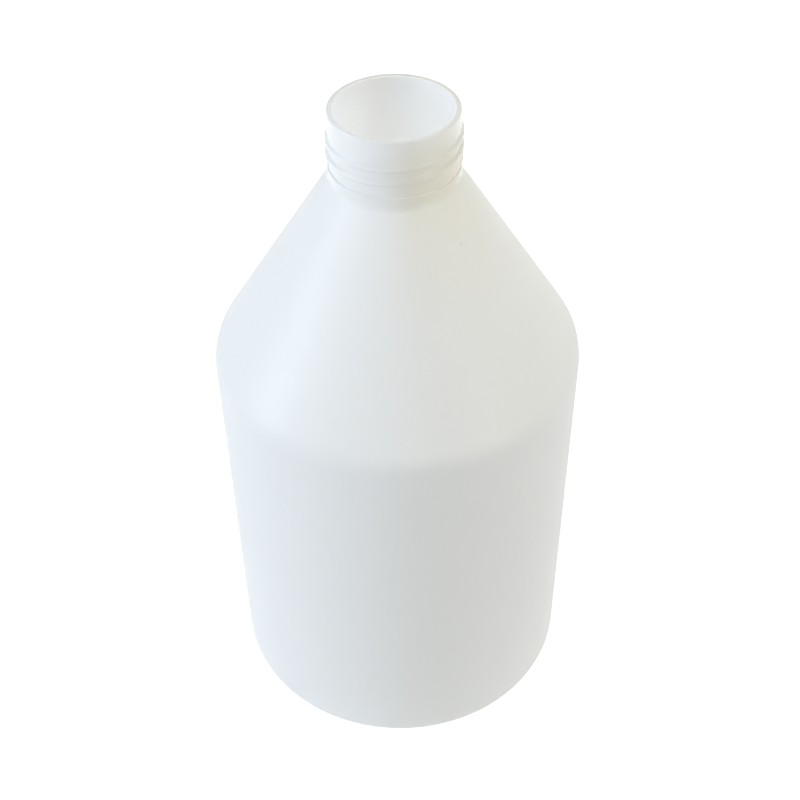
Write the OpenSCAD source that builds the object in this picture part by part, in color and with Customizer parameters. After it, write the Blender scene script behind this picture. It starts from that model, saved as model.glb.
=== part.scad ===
// Round jug for a liquid, blown in one piece of natural polyethylene.
// A straight round body carries a tall cone, and the cone ends in a short neck
// with a coarse outer thread for a screw cap. The mouth is open and the jug is hollow.
// All sizes are in millimetres. It stands on its foot ring, centred on the Z axis.

/* [Body] */
// Outside diameter of the body
body_d = 100; // [80:1:140]
// Height of the corner where the side and the cone would meet
body_h = 116; // [80:0.5:170]
// Radius that rounds that corner outside
shoulder_r = 9; // [4:0.5:15]
// Thickness of the side and the cone
body_wall = 1.1; // [0.8:0.1:2]

/* [Cone] */
// Height of the cone, from the body's corner to the neck
cone_h = 54; // [35:0.5:80]
// Radius of the hollow where the cone turns up into the neck
neck_fillet = 3.5; // [2:0.5:8]

/* [Foot] */
// Radius of the round between the side and the foot ring
foot_r = 3.5; // [2.5:0.5:6]
// Width of the flat ring that the jug stands on
land_w = 3; // [2:0.5:6]
// Height of the dome under the jug, at its centre
dome_h = 5; // [3:0.5:9]
// Radius of the round between the foot ring and the dome
ring_r = 3; // [1:0.5:5]
// Thickness of the bottom
base_wall = 1.6; // [1.2:0.1:3]

/* [Neck] */
// Outside diameter of the neck, without its thread
neck_d = 32.5; // [24:0.5:44]
// Height of the neck above the cone
neck_h = 18; // [16:0.5:30]
// Thickness of the neck
neck_wall = 1.5; // [1.2:0.1:2.5]
// Radius that rounds both edges of the lip
lip_r = 0.4; // [0.2:0.1:0.5]
// How far the collar at the neck's foot stands out from the neck
collar_out = 0.35; // [0.25:0.05:1]
// Height of the collar above the cone
collar_h = 3; // [1.5:0.5:4]
// Radius that rounds the collar's upper edge
collar_edge_r = 0.2; // [0.1:0.05:0.3]

/* [Thread] */
// How far the thread stands out from the neck
thread_h = 0.7; // [0.4:0.05:1.5]
// Width of the thread at its foot
thread_w = 2.6; // [2:0.1:3.4]
// Width of the thread's flat crest
crest_w = 0.6; // [0.4:0.1:1.8]
// Drop of the thread in one turn
thread_pitch = 3.7; // [3.5:0.05:5]
// Number of turns
thread_turns = 2.2; // [1:0.1:2.3]
// Angle from the right to where the thread begins, towards the back
thread_start = 40; // [0:5:90]
// Drop from the lip to the crest where the thread begins
thread_drop = 5.6; // [3:0.1:6]
// Angle over which each end of the thread rises
thread_rise = 40; // [15:5:80]

/* [Hidden] */
$fa = 3;
$fs = 0.4;

body_r = body_d / 2;
neck_r = neck_d / 2;
collar_r = neck_r + collar_out;
neck_z = body_h + cone_h;
collar_z = neck_z + collar_h;
total_h = neck_z + neck_h;
cone_angle = atan2(cone_h, body_r - collar_r);

// The hollow, one wall inside the outline
hollow_r = body_r - body_wall;
bore_r = neck_r - neck_wall;
past_lip = 5;

// The dome is part of a ball whose top is dome_h above the foot ring's plane
dome_w = body_r - foot_r - land_w;
ball_r = (dome_w * dome_w + dome_h * dome_h) / (2 * dome_h);
ball_z = dome_h - ball_r;

// The thread's foot is sunk into the neck's wall, so that the two are one solid
thread_root = neck_r - neck_wall / 2;
thread_sink = neck_wall / 10;
turn_steps = 40;
width_steps = 12;

function unit(v) = v / norm(v);

// Height of the cone's surface at radius x, or of a surface that lies inset below it
function cone_z(x, inset = 0) = body_h + (body_r - x) * tan(cone_angle) - inset / cos(cone_angle);

// Eases from 0 to 1 as t goes from 0 to 1
function ease(t) = t <= 0 ? 0 : t >= 1 ? 1 : (1 - cos(180 * t)) / 2;

// What lies between a corner at p and the round of radius r that touches both its sides
module corner(p, side_a, side_b, r) {
    u = unit(side_a - p);
    v = unit(side_b - p);
    half = acos(u * v) / 2;
    reach = r / tan(half);
    centre = p + unit(u + v) * r / sin(half);
    difference() {
        polygon([p, p + u * reach, centre, p + v * reach]);
        translate(centre) circle(r);
    }
}

// Half of the outline, as solid
module outside() {
    foot = [body_r, 0];
    shoulder = [body_r, body_h];
    root = [collar_r, neck_z];
    ledge = [collar_r, collar_z];
    above_ledge = [neck_r, collar_z];
    lip = [neck_r, total_h];
    difference() {
        polygon([[0, 0], foot, shoulder, root, ledge, above_ledge, lip, [0, total_h]]);
        corner(foot, [0, 0], shoulder, foot_r);
        corner(shoulder, foot, root, shoulder_r);
        corner(ledge, root, above_ledge, collar_edge_r);
        corner(lip, above_ledge, [0, total_h], lip_r);
    }
    corner(root, shoulder, ledge, neck_fillet);
}

// Half of the hollow, which runs out through the mouth
module inside() {
    foot = [hollow_r, base_wall];
    shoulder = [hollow_r, cone_z(hollow_r, body_wall)];
    root = [bore_r, cone_z(bore_r, body_wall)];
    mouth = [bore_r, total_h + past_lip];
    difference() {
        polygon([[0, base_wall], foot, shoulder, root, mouth, [0, mouth[1]]]);
        corner(foot, [0, base_wall], shoulder, foot_r - body_wall);
        corner(shoulder, foot, root, shoulder_r - body_wall);
        translate([0, ball_z]) circle(ball_r + base_wall);
    }
    corner(root, shoulder, mouth, neck_fillet);
}

// The dome under the jug, with the round that leads into it from the foot ring
module dome() {
    edge = [dome_w, 0];
    centre = [sqrt(pow(ball_r + ring_r, 2) - pow(ring_r - ball_z, 2)), ring_r];
    ball = [0, ball_z];
    on_ball = ball + unit(centre - ball) * ball_r;
    translate(ball) circle(ball_r);
    difference() {
        polygon([edge, [centre[0], 0], centre, on_ball]);
        translate(centre) circle(ring_r);
    }
}

module shell() {
    lip_inside = [bore_r, total_h];
    rotate_extrude() difference() {
        outside();
        inside();
        dome();
        corner(lip_inside, [bore_r, 0], [neck_r, total_h], lip_r);
    }
}

// One ridge that winds down and clockwise from its start, as a right-hand thread does
module thread() {
    steps = round(thread_turns * turn_steps);
    function turned(i) = 360 * i / turn_steps;
    function risen(i) = ease(turned(i) / thread_rise) * ease((turned(steps) - turned(i)) / thread_rise);
    function ridge(s) = ease((1 - abs(s)) / (1 - crest_w / thread_w));
    function point(i, r, s) = [
        r * cos(thread_start - turned(i)),
        r * sin(thread_start - turned(i)),
        total_h - thread_drop - thread_pitch * i / turn_steps + s * thread_w / 2
    ];
    function ring(i) = concat(
        [point(i, thread_root, -1)],
        [for (j = [0:width_steps])
            let (s = 2 * j / width_steps - 1)
            point(i, neck_r - thread_sink + (thread_h + thread_sink) * risen(i) * ridge(s), s)],
        [point(i, thread_root, 1)]
    );
    count = width_steps + 3;
    points = [for (i = [0:steps]) each ring(i)];
    sides = [for (i = [0:steps - 1]) for (j = [0:count - 1])
        let (a = i * count + j, b = i * count + (j + 1) % count)
        each [[a, a + count, b], [b, a + count, b + count]]];
    first = [[for (j = [0:count - 1]) j]];
    last = [[for (j = [count - 1:-1:0]) steps * count + j]];
    polyhedron(points, concat(sides, first, last));
}

module jug() {
    color([0.9, 0.92, 0.93, 0.8]) {
        shell();
        thread();
    }
}

jug();
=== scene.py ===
# Looks of a round jug, blown in one piece of natural milky polyethylene.
# The blown wall is modelled as one closed shell: drawn as a profile, spun, rounded,
# and its neck pressed into a thread. All lengths are in metres.

import math

import bpy
from mathutils import Matrix, Vector


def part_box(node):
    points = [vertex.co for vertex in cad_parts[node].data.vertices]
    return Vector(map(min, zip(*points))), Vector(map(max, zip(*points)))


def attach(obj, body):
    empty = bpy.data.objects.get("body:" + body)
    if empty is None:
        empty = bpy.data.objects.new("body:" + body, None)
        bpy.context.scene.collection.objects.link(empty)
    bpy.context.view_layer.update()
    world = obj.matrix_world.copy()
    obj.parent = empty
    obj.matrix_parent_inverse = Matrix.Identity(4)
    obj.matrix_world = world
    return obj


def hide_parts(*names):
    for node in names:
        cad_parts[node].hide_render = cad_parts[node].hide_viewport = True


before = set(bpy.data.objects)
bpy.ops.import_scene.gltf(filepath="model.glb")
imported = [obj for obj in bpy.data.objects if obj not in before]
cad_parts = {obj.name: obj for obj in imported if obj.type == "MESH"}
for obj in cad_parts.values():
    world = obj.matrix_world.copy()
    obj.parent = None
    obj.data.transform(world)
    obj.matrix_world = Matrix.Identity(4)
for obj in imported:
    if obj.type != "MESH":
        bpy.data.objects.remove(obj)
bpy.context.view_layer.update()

MM = 0.001
NODE_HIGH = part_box("jug")[1]

# The jug's own sizes, which are those of the part's source
BODY_R = NODE_HIGH.x
TOTAL_H = NODE_HIGH.z
NECK_H = 18 * MM
CONE_H = 54 * MM
NECK_Z = TOTAL_H - NECK_H
BODY_H = NECK_Z - CONE_H
NECK_R = 16.25 * MM
COLLAR_R = NECK_R + 0.35 * MM
COLLAR_Z = NECK_Z + 3 * MM
COLLAR_EDGE_R = 0.2 * MM
BODY_WALL = 1.1 * MM
NECK_WALL = 1.5 * MM
BASE_WALL = 1.6 * MM
SHOULDER_R = 9 * MM
NECK_FILLET = 3.5 * MM
FOOT_R = 3.5 * MM
LAND_W = 3 * MM
RING_R = 3 * MM
DOME_H = 5 * MM
LIP_R = 0.4 * MM

THREAD_H = 0.7 * MM
THREAD_W = 2.6 * MM
CREST_W = 0.6 * MM
THREAD_PITCH = 3.7 * MM
THREAD_TURNS = 2.2
THREAD_START = math.radians(40)
THREAD_DROP = 5.6 * MM
THREAD_RISE = math.radians(40)

# How finely the shell is made
COLUMNS = 256
DOME_STEPS = 10
LENGTH_CUTS = 23
THREAD_CUTS = 71
NEAR = 0.01 * MM

# Camera, which stands where the photograph was taken from
EYE = Vector((0, -276.4, 348.8)) * MM
LOOK_DOWN = math.radians(42.78)
LOOK_LEFT = math.radians(0.112)
CAMERA_ROLL = math.radians(-0.755)
LENS = 59.07
SENSOR = 36


def add_camera():
    bpy.ops.object.camera_add()
    camera = bpy.context.object
    camera.name = "camera"
    camera.data.sensor_width = SENSOR
    camera.data.lens = LENS
    camera.data.clip_start = 10 * MM
    camera.matrix_world = (
        Matrix.Translation(EYE)
        @ Matrix.Rotation(-LOOK_LEFT, 4, "Z")
        @ Matrix.Rotation(math.radians(90) - LOOK_DOWN, 4, "X")
        @ Matrix.Rotation(CAMERA_ROLL, 4, "Z")
    )
    bpy.context.scene.camera = camera


# Helpers for modelling by hand
def deselect_all():
    bpy.ops.object.select_all(action="DESELECT")


def start_point(name, place):
    """A new mesh of one vertex, left open in edit mode."""
    deselect_all()
    bpy.ops.mesh.primitive_plane_add(size=MM, location=(0, 0, 0))
    piece = bpy.context.object
    piece.name = piece.data.name = name
    bpy.ops.object.mode_set(mode="EDIT")
    bpy.ops.mesh.merge(type="COLLAPSE")
    bpy.ops.transform.translate(value=place)
    return piece


def draw_on(step):
    bpy.ops.mesh.extrude_region_move(TRANSFORM_OT_translate={"value": step})


def select_edges(piece, wanted):
    """In edit mode, select the edges whose two ends satisfy wanted."""
    bpy.ops.mesh.select_mode(type="EDGE")
    bpy.ops.mesh.select_all(action="DESELECT")
    bpy.ops.object.mode_set(mode="OBJECT")
    points = piece.data.vertices
    count = 0
    for edge in piece.data.edges:
        a, b = (points[i].co for i in edge.vertices)
        edge.select = wanted(a, b)
        count += edge.select
    bpy.ops.object.mode_set(mode="EDIT")
    return count


def radius(point):
    return math.hypot(point.x, point.y)


# The profile of the wall: down the middle of the dome, out, up the outside and back down the inside
CONE_ANGLE = math.atan2(CONE_H, BODY_R - COLLAR_R)
HOLLOW_R = BODY_R - BODY_WALL
BORE_R = NECK_R - NECK_WALL
DOME_W = BODY_R - FOOT_R - LAND_W
BALL_R = (DOME_W**2 + DOME_H**2) / (2 * DOME_H)
BALL_Z = DOME_H - BALL_R


def cone_z(r, inset=0.0):
    return BODY_H + (BODY_R - r) * math.tan(CONE_ANGLE) - inset / math.cos(CONE_ANGLE)


def ball_arc(ball_r, edge_r):
    """Points on a ball over the jug's base, from the middle out to edge_r."""
    points = []
    for i in range(DOME_STEPS):
        r = edge_r * i / DOME_STEPS
        points.append((r, BALL_Z + math.sqrt(ball_r**2 - r**2), 0))
    return points


def wall_profile():
    """Corners of the wall as (radius, height, round)."""
    inner_ball = BALL_R + BASE_WALL
    gutter_r = math.sqrt(inner_ball**2 - (BASE_WALL - BALL_Z) ** 2)
    outside = ball_arc(BALL_R, DOME_W) + [
        (DOME_W, 0, RING_R),
        (BODY_R, 0, FOOT_R),
        (BODY_R, BODY_H, SHOULDER_R),
        (COLLAR_R, NECK_Z, NECK_FILLET),
        (COLLAR_R, COLLAR_Z, COLLAR_EDGE_R),
        (NECK_R, COLLAR_Z, 0),
        (NECK_R, TOTAL_H, LIP_R),
    ]
    inside = [
        (BORE_R, TOTAL_H, LIP_R),
        (BORE_R, cone_z(BORE_R, BODY_WALL), NECK_FILLET),
        (HOLLOW_R, cone_z(HOLLOW_R, BODY_WALL), SHOULDER_R - BODY_WALL),
        (HOLLOW_R, BASE_WALL, FOOT_R - BODY_WALL),
        (gutter_r, BASE_WALL, 0),
    ] + ball_arc(inner_ball, gutter_r)[::-1]
    return outside + inside


def corner_turn(before, corner, after):
    into = Vector((corner[0] - before[0], corner[1] - before[1]))
    out = Vector((after[0] - corner[0], after[1] - corner[1]))
    return into.angle(out)


def round_rings(piece, profile):
    for before, corner, after in zip(profile, profile[1:], profile[2:]):
        if not corner[2]:
            continue
        turn = corner_turn(before, corner, after)

        def on_ring(a, b, r=corner[0], z=corner[1]):
            return all(abs(radius(p) - r) < NEAR and abs(p.z - z) < NEAR for p in (a, b))

        select_edges(piece, on_ring)
        bpy.ops.mesh.bevel(
            offset_type="OFFSET",
            offset=corner[2] * math.tan(turn / 2),
            segments=max(3, round(math.degrees(turn) / 5)),
            profile=0.5,
            clamp_overlap=False,
        )


def cut_lengths(piece, low, high, cuts, least=10 * MM):
    """Cut the long lengthwise edges between two heights into short ones."""

    def lengthwise(a, b):
        along = abs(a.z - b.z) > least and min(a.z, b.z) > low and max(a.z, b.z) < high
        return along and abs(math.atan2(a.y, a.x) - math.atan2(b.y, b.x)) < 0.001

    select_edges(piece, lengthwise)
    bpy.ops.mesh.subdivide(number_cuts=cuts)


def ease(t):
    t = min(max(t, 0), 1)
    return (1 - math.cos(math.pi * t)) / 2


def thread_height(angle, z):
    """How far the thread stands out at a place on the neck, as it winds down clockwise."""
    turned = (THREAD_START - angle) % (2 * math.pi)
    crest = TOTAL_H - THREAD_DROP
    height = 0
    for turn in range(math.ceil(THREAD_TURNS)):
        wound = turned + turn * 2 * math.pi
        left = THREAD_TURNS * 2 * math.pi - wound
        away = abs(z - (crest - THREAD_PITCH * wound / (2 * math.pi))) / (THREAD_W / 2)
        ridge = ease((1 - away) / (1 - CREST_W / THREAD_W))
        height = max(height, THREAD_H * ridge * ease(wound / THREAD_RISE) * ease(left / THREAD_RISE))
    return height


def press_thread(piece):
    for vertex in piece.data.vertices:
        r = radius(vertex.co)
        if vertex.co.z > NECK_Z and abs(r - NECK_R) < NEAR:
            out = thread_height(math.atan2(vertex.co.y, vertex.co.x), vertex.co.z)
            vertex.co.x *= (r + out) / r
            vertex.co.y *= (r + out) / r


def make_jug():
    profile = wall_profile()
    first = profile[0]
    piece = start_point("blown_jug", (first[0], 0, first[1]))
    for before, after in zip(profile, profile[1:]):
        draw_on((after[0] - before[0], 0, after[1] - before[1]))
    bpy.ops.mesh.select_all(action="SELECT")
    bpy.ops.mesh.spin(steps=COLUMNS, angle=2 * math.pi, center=(0, 0, 0), axis=(0, 0, 1))
    bpy.ops.mesh.select_all(action="SELECT")
    bpy.ops.mesh.remove_doubles(threshold=NEAR / 10)
    bpy.ops.mesh.normals_make_consistent(inside=False)
    round_rings(piece, profile)
    cut_lengths(piece, 0, BODY_H, LENGTH_CUTS)
    cut_lengths(piece, BODY_H - SHOULDER_R, NECK_Z + NECK_H, LENGTH_CUTS, least=40 * MM)
    cut_neck(piece)
    bpy.ops.object.mode_set(mode="OBJECT")
    press_thread(piece)
    bpy.ops.object.shade_smooth()
    return piece


def cut_neck(piece):
    def outside_neck(a, b):
        upright = abs(a.x - b.x) < NEAR and abs(a.y - b.y) < NEAR and abs(a.z - b.z) > NECK_H / 2
        return upright and abs(radius(a) - NECK_R) < NEAR

    select_edges(piece, outside_neck)
    bpy.ops.mesh.subdivide(number_cuts=THREAD_CUTS)


# Materials
WHITE = (1, 1, 1, 1)
FLOOR_WHITE = (0.8, 0.8, 0.8, 1)
FLOOR_ROUGHNESS = 0.9
FLOOR_WIDTH = 6
FLOOR_GLOW = 0.8

# Rays to which the floor and the room show as white
SEEN_BY = ("Is Camera Ray", "Is Glossy Ray", "Is Transmission Ray")

# The plastic by light that falls on it, then by light that soaks through it
MILKY = (0.9, 0.91, 0.915, 1)
LINE_MILKY = (0.892, 0.902, 0.907, 1)
# Painted warm shade: the plastic's colour where the outside of the neck is shaded and tinted olive
SHADED_MILKY = (0.88, 0.85, 0.73, 1)
SOAKED = (0.97, 0.965, 0.95, 1)
# Painted warm shade: the same olive tint on the light that soaks through
SHADED_SOAKED = (0.935, 0.9, 0.77, 1)
SOAK_SHARE = 0.4

# How much light passes straight through the body's wall, and through the thicker neck
STRAIGHT_SHARE = 0.7
NECK_STRAIGHT_SHARE = 0.64

# The skin, which is smoother on the neck
PLASTIC_IOR = 1.5
ROUGHNESS_LOW, ROUGHNESS_HIGH = 0.38, 0.46
ROUGHNESS_CLOUDS = 60
SKIN_ROUGHNESS = 0.12
GRAIN_SCALE = 900
GRAIN_DETAIL = 3
GRAIN_STRENGTH = 0.12
GRAIN_DEPTH = 0.05 * MM
CLOUD_DETAIL = 2

# How far light inside the neck blurs its relief: share of the upward slope kept, and lean outwards
RELIEF = 0.6
LEAN = 0.33

# Painted warm shade on the outside of the neck, olive in tint, as (height, amount), and its side
SHADE_HEIGHTS = [(145 * MM, 0), (163 * MM, 0.45), (170 * MM, 0.6), (172 * MM, 1), (179 * MM, 0.9)]
SHADE_AT_LIP = 0.3
SHADE_SIDE = (0.707, -0.707, 0)
SHADE_EDGE = 0.5
SHADE_FULL = 1.0

# Faint lines down the wall, and how far they wander with height
LINE_SCALE = 55
LINE_WANDER = 1.5

# A speck of dirt on the cone
DIRT = (0.72, 0.72, 0.68, 1)
SPECK_AT = (15.95 * MM, -16.54 * MM, 159.7 * MM)
SPECK_R = 0.45 * MM


def new_material(name):
    material = bpy.data.materials.new(name)
    material.use_nodes = True
    return material, material.node_tree.nodes, material.node_tree.links


def share(nodes, ray, *names):
    """1 for the kinds of ray that are named, and 0 for all others."""
    total = None
    for name in names:
        step = nodes.new("ShaderNodeMath")
        step.operation = "MAXIMUM"
        step.inputs[1].default_value = 0
        nodes.id_data.links.new(ray.outputs[name], step.inputs[0])
        if total:
            nodes.id_data.links.new(total, step.inputs[1])
        total = step.outputs["Value"]
    return total


def mottle(nodes, links, place, scale, low, high):
    """Soft clouds between two values."""
    noise_node = nodes.new("ShaderNodeTexNoise")
    noise_node.inputs["Scale"].default_value = scale
    noise_node.inputs["Detail"].default_value = CLOUD_DETAIL
    links.new(place, noise_node.inputs["Vector"])
    spread = nodes.new("ShaderNodeMapRange")
    spread.inputs["From Min"].default_value = 0.3
    spread.inputs["From Max"].default_value = 0.7
    spread.inputs["To Min"].default_value = low
    spread.inputs["To Max"].default_value = high
    links.new(noise_node.outputs["Fac"], spread.inputs["Value"])
    return spread.outputs["Result"]


def up_the_neck(nodes, links, place):
    """0 on the cone and 1 on the thicker neck, with a soft step between."""
    split = nodes.new("ShaderNodeSeparateXYZ")
    links.new(place, split.inputs["Vector"])
    rise = nodes.new("ShaderNodeMapRange")
    rise.interpolation_type = "SMOOTHSTEP"
    rise.inputs["From Min"].default_value = NECK_Z - 1 * MM
    rise.inputs["From Max"].default_value = NECK_Z + 2 * MM
    links.new(split.outputs["Z"], rise.inputs["Value"])
    return rise.outputs["Result"]


def blend_colours(nodes, links, share_of_second, first, second):
    blend = nodes.new("ShaderNodeMix")
    blend.data_type = "RGBA"
    links.new(share_of_second, blend.inputs["Factor"])
    for name, colour in (("A", first), ("B", second)):
        if isinstance(colour, tuple):
            blend.inputs[name].default_value = colour
        else:
            links.new(colour, blend.inputs[name])
    return blend.outputs["Result"]


def vector_step(nodes, links, operation, first, second=None, result="Vector"):
    """One step of vector arithmetic. The second value may be a socket or three numbers."""
    step = nodes.new("ShaderNodeVectorMath")
    step.operation = operation
    links.new(first, step.inputs[0])
    if isinstance(second, tuple):
        step.inputs[1].default_value = second
    elif second:
        links.new(second, step.inputs[1])
    return step.outputs[result]


def number_step(nodes, links, operation, first, second, third=0.0):
    """One step of arithmetic, held between 0 and 1. The second value may be a socket or a number."""
    step = nodes.new("ShaderNodeMath")
    step.operation = operation
    step.use_clamp = True
    links.new(first, step.inputs[0])
    if isinstance(second, (int, float)):
        step.inputs[1].default_value = second
    else:
        links.new(second, step.inputs[1])
    step.inputs[2].default_value = third
    return step.outputs["Value"]


def warm_shade_share(nodes, links, place, facing, outward):
    """Painted warm shade, olive in tint, on the outside of the neck: most at the right of its front."""
    split = nodes.new("ShaderNodeSeparateXYZ")
    links.new(place, split.inputs["Vector"])
    height = nodes.new("ShaderNodeMapRange")
    height.inputs["From Max"].default_value = TOTAL_H
    links.new(split.outputs["Z"], height.inputs["Value"])
    ramp = nodes.new("ShaderNodeValToRGB")
    stops = ramp.color_ramp.elements
    stops[0].color = (0, 0, 0, 1)
    stops[1].color = (SHADE_AT_LIP, SHADE_AT_LIP, SHADE_AT_LIP, 1)
    for z, amount in SHADE_HEIGHTS:
        stops.new(z / TOTAL_H).color = (amount, amount, amount, 1)
    links.new(height.outputs["Result"], ramp.inputs["Fac"])
    side = nodes.new("ShaderNodeMapRange")
    side.interpolation_type = "SMOOTHSTEP"
    side.inputs["From Min"].default_value = SHADE_EDGE
    side.inputs["From Max"].default_value = SHADE_FULL
    links.new(vector_step(nodes, links, "DOT_PRODUCT", outward, SHADE_SIDE, "Value"), side.inputs["Value"])
    outside = vector_step(nodes, links, "DOT_PRODUCT", facing, outward, "Value")
    shown = number_step(nodes, links, "MULTIPLY", outside, ramp.outputs["Color"])
    return number_step(nodes, links, "MULTIPLY", shown, side.outputs["Result"])


def blurred_normal(nodes, links, facing, outward, neck):
    """Light spreads inside the plastic and blurs fine relief, so slopes up the neck count for less."""
    scale = nodes.new("ShaderNodeCombineXYZ")
    scale.inputs["X"].default_value = 1
    scale.inputs["Y"].default_value = 1
    links.new(number_step(nodes, links, "MULTIPLY_ADD", neck, RELIEF - 1, 1), scale.inputs["Z"])
    flattened = vector_step(nodes, links, "MULTIPLY", facing, scale.outputs["Vector"])
    leaning = nodes.new("ShaderNodeVectorMath")
    leaning.operation = "SCALE"
    links.new(outward, leaning.inputs[0])
    links.new(number_step(nodes, links, "MULTIPLY", neck, LEAN), leaning.inputs["Scale"])
    total = vector_step(nodes, links, "ADD", flattened, leaning.outputs["Vector"])
    return vector_step(nodes, links, "NORMALIZE", total)


def die_lines(nodes, links, place, outward):
    """Faint lines that run down the wall, as the die leaves them on the soft tube."""
    drift = vector_step(nodes, links, "MULTIPLY", place, (0, 0, LINE_WANDER))
    around = vector_step(nodes, links, "ADD", outward, drift)
    return mottle(nodes, links, around, LINE_SCALE, 0, 1)


def speck_share(nodes, links, place):
    """A small speck of dirt on the front of the cone."""
    away = vector_step(nodes, links, "DISTANCE", place, SPECK_AT, "Value")
    spread = nodes.new("ShaderNodeMapRange")
    spread.inputs["From Min"].default_value = SPECK_R
    spread.inputs["From Max"].default_value = SPECK_R / 2
    links.new(away, spread.inputs["Value"])
    return spread.outputs["Result"]


def fine_grain(nodes, links, place, normal=None):
    grain = nodes.new("ShaderNodeTexNoise")
    grain.inputs["Scale"].default_value = GRAIN_SCALE
    grain.inputs["Detail"].default_value = GRAIN_DETAIL
    links.new(place, grain.inputs["Vector"])
    bump = nodes.new("ShaderNodeBump")
    bump.inputs["Strength"].default_value = GRAIN_STRENGTH
    bump.inputs["Distance"].default_value = GRAIN_DEPTH
    links.new(grain.outputs["Fac"], bump.inputs["Height"])
    if normal:
        links.new(normal, bump.inputs["Normal"])
    return bump.outputs["Normal"]


def milky_polyethylene():
    """Light soaks through the wall, and part of it passes straight, save for camera and glossy rays."""
    material, nodes, links = new_material("milky_polyethylene")
    place = nodes.new("ShaderNodeTexCoord").outputs["Object"]
    neck = up_the_neck(nodes, links, place)
    facing = nodes.new("ShaderNodeNewGeometry").outputs["Normal"]
    level = vector_step(nodes, links, "MULTIPLY", place, (1, 1, 0))
    outward = vector_step(nodes, links, "NORMALIZE", level)
    # Painted warm shade, olive in tint, on the outside of the neck
    warm_shade = warm_shade_share(nodes, links, place, facing, outward)
    blurred = blurred_normal(nodes, links, facing, outward, neck)
    shader = nodes["Principled BSDF"]
    lined = blend_colours(nodes, links, die_lines(nodes, links, place, outward), MILKY, LINE_MILKY)
    # Painted warm shade on the outside of the neck
    warm_shaded = blend_colours(nodes, links, warm_shade, lined, SHADED_MILKY)
    dirty = blend_colours(nodes, links, speck_share(nodes, links, place), warm_shaded, DIRT)
    links.new(dirty, shader.inputs["Base Color"])
    shader.inputs["IOR"].default_value = PLASTIC_IOR
    clouds = mottle(nodes, links, place, ROUGHNESS_CLOUDS, ROUGHNESS_LOW, ROUGHNESS_HIGH)
    links.new(clouds, shader.inputs["Roughness"])
    links.new(fine_grain(nodes, links, place, blurred), shader.inputs["Normal"])
    outside = vector_step(nodes, links, "DOT_PRODUCT", facing, outward, "Value")
    links.new(number_step(nodes, links, "MULTIPLY", outside, neck), shader.inputs["Coat Weight"])
    shader.inputs["Coat Roughness"].default_value = SKIN_ROUGHNESS
    links.new(fine_grain(nodes, links, place), shader.inputs["Coat Normal"])
    through = nodes.new("ShaderNodeBsdfTranslucent")
    # Painted warm shade on the light that soaks through the neck
    links.new(blend_colours(nodes, links, warm_shade, SOAKED, SHADED_SOAKED), through.inputs["Color"])
    links.new(blurred, through.inputs["Normal"])
    solid = nodes.new("ShaderNodeMixShader")
    solid.inputs["Fac"].default_value = SOAK_SHARE
    links.new(shader.outputs["BSDF"], solid.inputs[1])
    links.new(through.outputs["BSDF"], solid.inputs[2])
    straight = nodes.new("ShaderNodeBsdfTransparent")
    seen = share(nodes, nodes.new("ShaderNodeLightPath"), "Is Camera Ray", "Is Glossy Ray")
    thicker = NECK_STRAIGHT_SHARE - STRAIGHT_SHARE
    passed = number_step(nodes, links, "MULTIPLY_ADD", neck, thicker, STRAIGHT_SHARE)
    unseen = number_step(nodes, links, "SUBTRACT", passed, seen)
    wall = nodes.new("ShaderNodeMixShader")
    links.new(unseen, wall.inputs["Fac"])
    links.new(solid.outputs["Shader"], wall.inputs[1])
    links.new(straight.outputs["BSDF"], wall.inputs[2])
    links.new(wall.outputs["Shader"], nodes["Material Output"].inputs["Surface"])
    return material


def white_floor():
    """A matt white floor that shows as white, and keeps a soft shadow."""
    material, nodes, links = new_material("white_floor")
    matt = nodes["Principled BSDF"]
    matt.inputs["Base Color"].default_value = FLOOR_WHITE
    matt.inputs["Roughness"].default_value = FLOOR_ROUGHNESS
    matt.inputs["Specular IOR Level"].default_value = 0
    glow = nodes.new("ShaderNodeEmission")
    glow.inputs["Color"].default_value = WHITE
    seen = share(nodes, nodes.new("ShaderNodeLightPath"), *SEEN_BY)
    scaled = nodes.new("ShaderNodeMath")
    scaled.operation = "MULTIPLY"
    scaled.inputs[1].default_value = FLOOR_GLOW
    links.new(seen, scaled.inputs[0])
    links.new(scaled.outputs["Value"], glow.inputs["Strength"])
    both = nodes.new("ShaderNodeAddShader")
    links.new(matt.outputs["BSDF"], both.inputs[0])
    links.new(glow.outputs["Emission"], both.inputs[1])
    links.new(both.outputs["Shader"], nodes["Material Output"].inputs["Surface"])
    return material


def add_floor():
    deselect_all()
    bpy.ops.mesh.primitive_plane_add(size=FLOOR_WIDTH, location=(0, 0, 0))
    floor = bpy.context.object
    floor.name = "floor"
    floor.data.materials.append(white_floor())


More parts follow.
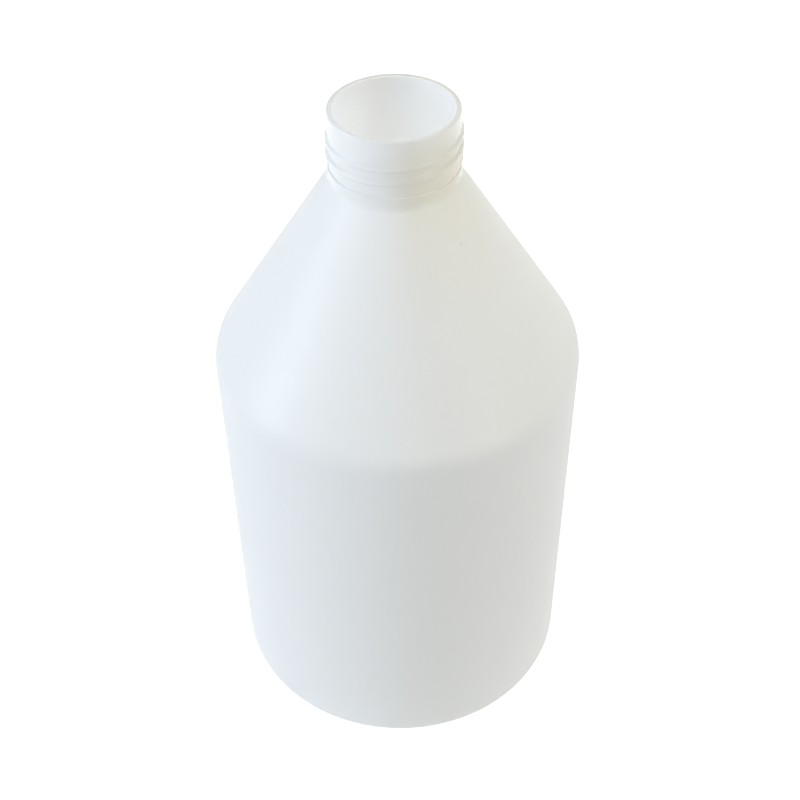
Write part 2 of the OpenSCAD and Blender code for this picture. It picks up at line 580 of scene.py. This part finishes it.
# Light
MIDDLE = Vector((0, 0, 100)) * MM
SEEN_WHITE = 1.0
ROOM = 0.02
LAMPS = [
    # name, degrees round from the right, degrees up, metres away, metres wide, watts, colour, lights, shines
    ("window", -168, 10, 1.4, 0.5, 8.5, (0.72, 0.85, 1.0), True, True),
    ("sky_left", -145, 28, 1.4, 0.8, 2.4, (0.32, 0.57, 1.0), True, False),
    ("sky_high", 175, 50, 1.5, 0.8, 2.3, (0.77, 0.85, 1.0), True, False),
    ("room_back", 90, 30, 1.5, 1.0, 1.0, (1.0, 0.77, 0.31), True, False),
    ("ceiling", 0, 89, 1.5, 1.0, 1.8, (1.0, 0.95, 0.7), True, False),
    ("room_right", 0, 50, 1.5, 0.8, 6.4, (1.0, 0.95, 0.77), True, False),
    ("room_front", -90, 70, 1.5, 0.8, 9.3, (1.0, 0.98, 0.92), True, False),
    ("pane_left", -145, 28, 1.4, 0.35, 2.5, (0.94, 0.96, 1.0), False, True),
    ("pane_right", -42, 3, 1.4, 0.35, 2.4, (1.0, 0.98, 0.93), False, True),
]


def add_lamp(name, around, up, away, width, watts, colour, lights, shines):
    around, up = math.radians(around), math.radians(up)
    flat = math.cos(up)
    toward = Vector((flat * math.cos(around), flat * math.sin(around), math.sin(up)))
    bpy.ops.object.light_add(type="AREA", location=MIDDLE + toward * away)
    lamp = bpy.context.object
    lamp.name = name
    lamp.data.shape = "DISK"
    lamp.data.size = width
    lamp.data.energy = watts
    lamp.data.color = colour
    lamp.visible_diffuse = lights
    lamp.visible_glossy = shines
    lamp.rotation_euler = toward.to_track_quat("Z", "Y").to_euler()


def light_room():
    world = bpy.data.worlds.new("white_room")
    world.use_nodes = True
    bpy.context.scene.world = world
    nodes, links = world.node_tree.nodes, world.node_tree.links
    room = nodes["Background"]
    room.inputs["Color"].default_value = WHITE
    room.inputs["Strength"].default_value = ROOM
    seen = nodes.new("ShaderNodeBackground")
    seen.inputs["Color"].default_value = WHITE
    seen.inputs["Strength"].default_value = SEEN_WHITE
    mix = nodes.new("ShaderNodeMixShader")
    links.new(share(nodes, nodes.new("ShaderNodeLightPath"), *SEEN_BY), mix.inputs["Fac"])
    links.new(room.outputs["Background"], mix.inputs[1])
    links.new(seen.outputs["Background"], mix.inputs[2])
    links.new(mix.outputs["Shader"], nodes["World Output"].inputs["Surface"])


add_camera()
jug = make_jug()
jug.data.materials.append(milky_polyethylene())
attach(jug, "root")
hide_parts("jug")
add_floor()
light_room()
for lamp in LAMPS:
    add_lamp(*lamp)

bpy.context.scene.view_settings.view_transform = "Standard"
